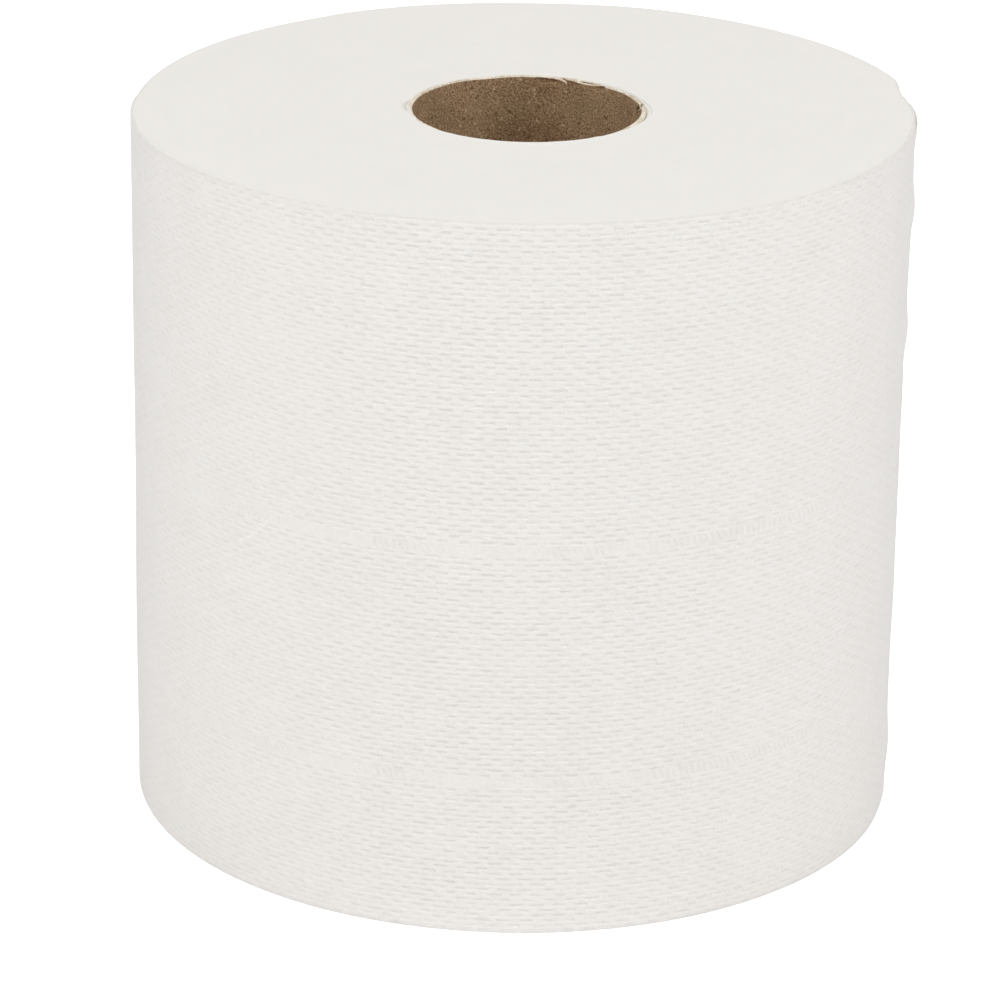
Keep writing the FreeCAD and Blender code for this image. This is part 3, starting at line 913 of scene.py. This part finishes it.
def coreTube():
    # profile: up the inner wall, over the cut edge, down the outer wall and under the lower edge;
    # columns follow the strip's joint, so that the joint is one sharp line of points
    wall, top, half = core["outer"] - core["bore"], core["top"], tube["edgeRound"]
    stops = half, top - tube["fineFrom"], top - tube["finestFrom"], top - half
    parts = [np.linspace(*part) for part in zip(stops, stops[1:], tube["innerRows"])]
    innerHeight = np.unique(np.concatenate(parts))  # with each stop once
    edgeIn = np.linspace(half, wall - half, tube["edgeRows"])
    outerHeight = np.linspace(top - half, half, tube["outerRows"])
    inset = np.concatenate([0 * innerHeight, edgeIn, wall + 0 * outerHeight, edgeIn[::-1]])[:, None]
    height = np.concatenate([innerHeight, top + 0 * edgeIn, outerHeight, 0 * edgeIn])[:, None]
    fromJoint = tubeColumns()
    degrees = jointAngle(height) + fromJoint
    onWall = (inset < tube["onWall"]) * smoothStep(height, *tube["plainFoot"])
    # the joint: a narrow groove that is open in places and tight in others
    fromSeam = np.radians(turned(fromJoint, 0)) * core["bore"]
    openness = tube["tight"]
    for depth, halfLong, gape in tube["gapes"]:
        openness = openness + gape * np.exp(-((top - height - depth) / halfLong) ** 2)
    seam = np.exp(-(fromSeam / (tube["seamWide"] / 2)) ** 2) * openness
    # the tear: a slit that slants down from the rim and closes at its end, with one lip bent inwards
    alongTear = turned(degrees, tear["from"]) / (tear["to"] - tear["from"])
    tearHeight = top - tear["drop"] * np.clip(alongTear, 0, tear["runOn"]) ** tear["power"]
    fromTear = height - tearHeight
    inTear = smoothStep(alongTear, *tear["opens"]) * (1 - smoothStep(alongTear, *tear["closes"]))
    slit = inTear * np.exp(-(fromTear / tear["halfWide"]) ** 2)
    lifted = inTear * np.exp(-((fromTear + tear["lipBelow"]) / tear["lipHalf"]) ** 2) * tear["lift"]
    dents = tube["dents"] * slowWaves(degrees, height, 61, mostRound=9, shortest=25.0)
    # where the liner is peeled off, the wall is thinner just below the cut
    peeled = 0
    peelFrom, peelTo = tube["peelFade"]
    for start, end, deep in tube["peeled"]:
        torn = tube["peelDown"] + tube["peelRagged"] * slowWaves(
            degrees, 0 * degrees, int(start), mostRound=60, count=30)
        below = smoothStep(height, top - peelFrom - torn, top - peelTo - torn)
        peeled = peeled + deep * between(degrees, start, end, tube["peelEnds"]) * below
    hollows = tube["seamDeep"] * seam + tear["deep"] * slit - lifted + dents + peeled
    radial = core["bore"] + inset + onWall * hollows
    # the cut edge: rough, slightly wavy, lower at the near side and notched where the tear starts
    onEdge = (inset > tube["onWall"]) * (inset < wall - tube["onWall"]) * (height > top / 2)
    finer = inset * 40  # so the waves are short across the wall too
    rough = tube["rimRough"] * slowWaves(degrees, finer, 67, mostRound=90, count=40)
    wave = tube["rimWave"] * (slowWaves(degrees, 0 * degrees, 71, mostRound=12) - tube["waveTop"])
    wave = wave - softBump(degrees, *tube["nearDrop"])
    acrossWall = np.clip(inset / wall, 0, 1)
    notchAt = tear["from"] + tube["notchLean"] * acrossWall
    notch = tube["notchDeep"] * np.exp(-(turned(degrees, notchAt) / tube["notchWide"]) ** 4)
    notchFrom, notchTo = tube["notchFade"]
    wallShare = tube["notchWall"] * smoothStep(height, top - notchFrom, top - notchTo)
    notch = notch * np.where(onEdge > 0, 1, wallShare * (inset < tube["onWall"]))
    raised = height + wave * smoothStep(height, top - tube["waveFade"], top) + onEdge * rough - notch
    points = polarPoints(degrees, radial, raised)
    faceRow = np.zeros(len(height), int)
    faceRow[len(innerHeight) - 1:] = 1  # outside, the first turn's glue has pulled pale fibres up
    wrapped = np.append(degrees, degrees[:, :1] + 360, axis=1)
    uv = gridOf(np.radians(wrapped) * core["bore"], height)
    piece = ringMesh("core_board", points, [linerMaterial, cutMaterial], faceMaterial=faceRow,
                     uvGrid=np.concatenate([uv, uv[:1]]))
    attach(piece, "root")
    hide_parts("core_tube")
    return piece


coreTube()
print("core wound")


# Slivers of liner, torn half off the cut edge of the core, and a loose bit of the first turn's ply

slivers = {
    "steps": 36, "around": 12,  # points along a strip and round its section
    "blur": 0.75,  # how softly its middle follows the points of its path
    "ragged": 0.25,
    "thick": 0.24,
    "lean": 0.45,  # the strips lean inwards, so that their faces look upwards
    "strips": {  # path as angle, radius and height of its middle, and its width at each point
        "back_sliver": (
            (86.0, 29.85, 189.05, 0.25), (82.0, 29.80, 189.15, 0.45), (77.0, 29.70, 189.10, 0.55),
            (72.5, 29.50, 188.90, 0.55), (69.5, 29.10, 188.50, 0.45), (68.3, 28.90, 188.10, 0.25)),
        "side_sliver": (
            (65.0, 29.80, 188.70, 0.20), (61.0, 29.55, 188.60, 0.42), (57.0, 29.35, 188.60, 0.50),
            (53.0, 29.40, 188.72, 0.42), (49.5, 29.60, 188.95, 0.30), (47.0, 29.80, 189.15, 0.20)),
    },
    "loosePly": (
        (170.0, 31.00, 189.12, 0.30), (175.0, 31.35, 189.38, 0.60), (179.0, 31.75, 189.46, 0.78),
        (183.0, 31.70, 189.44, 0.72), (187.0, 31.35, 189.35, 0.50), (191.0, 30.95, 189.12, 0.25)),
}


def tornSliver(name, path, material, node):
    # a thin curved strip: its middle follows the path, its section is an oval that stands on edge
    path = np.array(path)
    share = np.linspace(0, 1, len(path))
    fine = np.linspace(0, 1, slivers["steps"])
    weights = np.exp(-((fine[:, None] - share[None, :]) / (slivers["blur"] / len(path))) ** 2)
    weights = weights / weights.sum(axis=1, keepdims=True)
    angle, radius, height, width = (weights @ path).T[:, None, :]
    turn = np.radians(np.arange(slivers["around"]) * 360.0 / slivers["around"])[:, None]
    waves = slowWaves(fine[None, :] * 360, 0 * turn, len(name), mostRound=14)
    ragged = 1 + slivers["ragged"] * waves
    acrossHalf = slivers["thick"] / 2 * np.cos(turn)
    upHalf = width / 2 * np.sin(turn) * ragged
    points = polarPoints(angle + 0 * turn, radius + acrossHalf + slivers["lean"] * upHalf, height + upHalf)
    piece = ringMesh(name, points, [material], openColumns=True)
    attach(piece, "root")
    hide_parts(node)
    return piece


for sliverName, sliverPath in slivers["strips"].items():
    tornSliver(sliverName, sliverPath, tornLitMaterial, "core_tube")
tornSliver("loose_ply", slivers["loosePly"], webMaterial, "paper_roll")
print("slivers torn")


# Floor, light and camera

studio = {
    "floorSize": 12.0,  # metres
    "floorColour": "#F5F5F8",
    "floorGlow": 0.64,  # what the camera alone sees added, so that the bare floor is white
    "sky": 0.4,
    "aim": (0, 0, 0.09),
    "lamps": {  # place in metres, width of the soft disc in metres, and watts
        "front_high": ((0.2, -1.5, 2.0), 1.2, 11.0),
        "front_low": ((-0.1, -2.0, 0.35), 1.6, 7.2),
        "left": ((-1.7, -0.7, 1.5), 1.4, 13.8),
        "right": ((1.7, -0.6, 1.5), 1.4, 13.2),
        "back": ((0.0, 2.1, 1.6), 2.0, 14.0),
    },
}


def softLamp(name, place, size, power):
    light = bpy.data.lights.new(name, "AREA")
    light.shape, light.size, light.energy = "DISK", size, power
    lamp = bpy.data.objects.new(name, light)
    lamp.location = place
    lamp.rotation_euler = (Vector(studio["aim"]) - Vector(place)).to_track_quat("-Z", "Y").to_euler()
    lamp.visible_camera = False
    bpy.context.scene.collection.objects.link(lamp)


def seenDirectly(add):
    # 1 for what the camera sees itself or as a reflection, and 0 for light on its way to something else
    path = add("LightPath").outputs
    return add("ADD", path["Is Camera Ray"], path["Is Glossy Ray"], use_clamp=True)


def whiteFloor():
    half = studio["floorSize"] / 2
    level = cadBox[0][2]
    corners = [(-half, -half, level), (half, -half, level), (half, half, level), (-half, half, level)]
    mesh = bpy.data.meshes.new("floor")
    mesh.from_pydata(corners, [], [(0, 1, 2, 3)])
    material, add = newMaterial("white_sweep")
    matt = add("BsdfDiffuse", studio["floorColour"])
    glow = add("Emission", {"Strength": add("MULTIPLY", seenDirectly(add), studio["floorGlow"])})
    add("OutputMaterial", add("AddShader", matt, glow))
    mesh.materials.append(material)
    floor = bpy.data.objects.new("floor", mesh)
    bpy.context.scene.collection.objects.link(floor)


def whiteWorld():
    world = bpy.data.worlds.new("studio")
    add = emptyTree(world)
    strength = add("MULTIPLY_ADD", seenDirectly(add), 1.0 - studio["sky"], studio["sky"])
    add("OutputWorld", add("Background", "#FFFFFF", strength))
    bpy.context.scene.world = world


view = {
    "from": (0.0, -11.8811, 5.3383),  # in roll radii from the middle of the turns' lower end
    "tilt": 21.010, "turn": 0.206, "roll": 0.888,
    "lens": 174.07, "sensor": 36.0,  # mm
}


def camera():
    data = bpy.data.cameras.new("camera")
    data.lens, data.sensor_width = view["lens"], view["sensor"]
    data.clip_start, data.clip_end = 0.05, 50.0
    eye = bpy.data.objects.new("camera", data)
    unit = roll["radius"] * mm
    eye.location = Vector(view["from"]) * unit + Vector((roll["centreX"] * mm, 0, 0))
    tilt, turn, spin = (np.radians(view[key]) for key in ("tilt", "turn", "roll"))
    aim = Euler((np.pi / 2 - tilt, 0, turn)).to_matrix() @ Matrix.Rotation(spin, 3, "Z")
    eye.rotation_euler = aim.to_euler()
    bpy.context.scene.collection.objects.link(eye)
    bpy.context.scene.camera = eye


whiteFloor()
whiteWorld()
for lampName, (place, size, power) in studio["lamps"].items():
    softLamp(lampName, place, size, power)
camera()
bpy.context.scene.view_settings.view_transform = "Standard"
print("floor, light and camera set")
